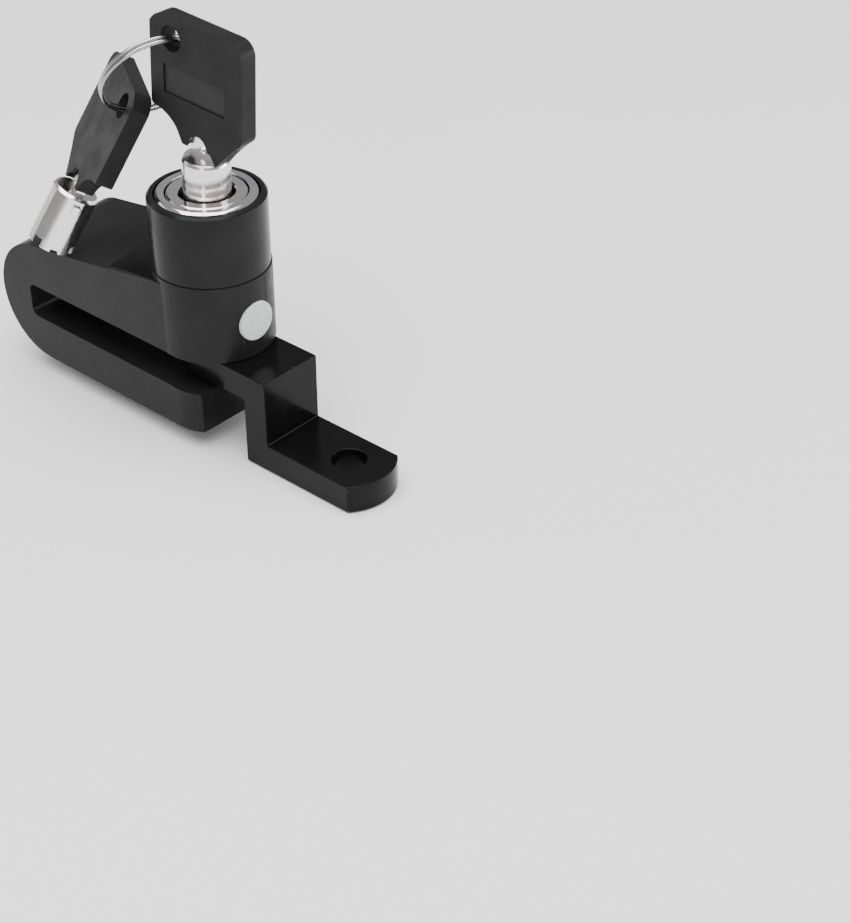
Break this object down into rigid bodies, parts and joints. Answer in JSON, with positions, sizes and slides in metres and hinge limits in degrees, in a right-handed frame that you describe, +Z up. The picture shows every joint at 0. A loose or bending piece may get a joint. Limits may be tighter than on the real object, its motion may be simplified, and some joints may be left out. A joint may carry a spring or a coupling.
{
  "type": "motorcycle disc brake lock",
  "caption": "U-shaped motorcycle disc lock with a push-down tubular-key cylinder, Z-shaped parking bracket and a pair of keys on a split ring.",
  "frame": {"origin": "on the underside of the bracket's foot, on its centreline between the leg and the bolt hole", "axes": "+X from the lock's closed tail towards the bracket's bolt hole, +Z up along the cylinder, out of the keyway; -Z out of the foot's underside"},
  "size_m": [0.099, 0.0299, 0.0872],
  "materials": {
    "satin_black": "satin black powder coat on die-cast zinc",
    "gloss_black": "gloss black paint on steel bar",
    "chrome": "bright chrome plate",
    "spring_steel": "bright nickel-plated spring wire",
    "plain_steel": "plain machined steel",
    "brass": "turned brass",
    "key_plastic": "fine-grained moulded black plastic",
    "grey_plug": "light grey moulded plug",
    "seal_rubber": "black rubber"
  },
  "bodies": {
    "bracket": {"mounting_bracket": "gloss_black"},
    "lock": {"lock_body": "satin_black", "barrel_sleeve": "satin_black", "chrome_bezel": "chrome", "pin_guide_bush": "brass", "spring_seat_washer": "plain_steel", "return_spring": "plain_steel", "retaining_pin": "plain_steel", "pin_plug": "grey_plug"},
    "cylinder": {"cylinder_shell": "chrome", "stator_block": "brass", "stator_pin": "plain_steel", "back_plate": "plain_steel", "cylinder_seal": "seal_rubber", "driver_pin_1": "plain_steel", "driver_pin_2": "plain_steel", "driver_pin_3": "plain_steel", "driver_pin_4": "plain_steel", "driver_pin_5": "plain_steel", "driver_pin_6": "plain_steel", "driver_pin_7": "plain_steel", "pin_spring_1": "plain_steel", "pin_spring_2": "plain_steel", "pin_spring_3": "plain_steel", "pin_spring_4": "plain_steel", "pin_spring_5": "plain_steel", "pin_spring_6": "plain_steel", "pin_spring_7": "plain_steel"},
    "core": {"core_spindle": "brass", "latch_cam": "plain_steel", "locking_pin": "plain_steel", "key_pin_1": "brass", "key_pin_2": "brass", "key_pin_3": "brass", "key_pin_4": "brass", "key_pin_5": "brass", "key_pin_6": "brass", "key_pin_7": "brass"},
    "key_1": {"key_1_blade": "chrome", "key_1_head": "key_plastic"},
    "key_ring": {"split_ring": "spring_steel"},
    "key_2": {"key_2_blade": "chrome", "key_2_head": "key_plastic"}
  },
  "joints": [
    {"name": "lock_swivel", "type": "hinge", "parent": "bracket", "child": "lock", "pos_m": [-0.026, 0, 0.0207], "axis": [0, 0, 1], "range_deg": [-100, 100]},
    {"name": "cylinder_push", "type": "slide", "parent": "lock", "child": "cylinder", "axis": [0, 0, 1], "range_m": [0, 0.009], "deforming": ["return_spring"]},
    {"name": "core_turn", "type": "hinge", "parent": "cylinder", "child": "core", "pos_m": [-0.026, 0, 0.0427], "axis": [0, 0, 1], "range_deg": [0, 60]},
    {"name": "key_1_pull", "type": "slide", "parent": "core", "child": "key_1", "axis": [0.0523, 0, 0.9986], "range_m": [0, 0.012]},
    {"name": "ring_swing", "type": "hinge", "parent": "key_1", "child": "key_ring", "pos_m": [-0.03121, -0.00031, 0.08216], "axis": [0.1753, 0.9477, -0.2669], "range_deg": [0, 15]},
    {"name": "key_2_swing", "type": "hinge", "parent": "key_ring", "child": "key_2", "pos_m": [-0.04303, -0.00283, 0.06547], "axis": [-0.441, -0.7416, 0.5055], "range_deg": [-15, 0]}
  ]
}
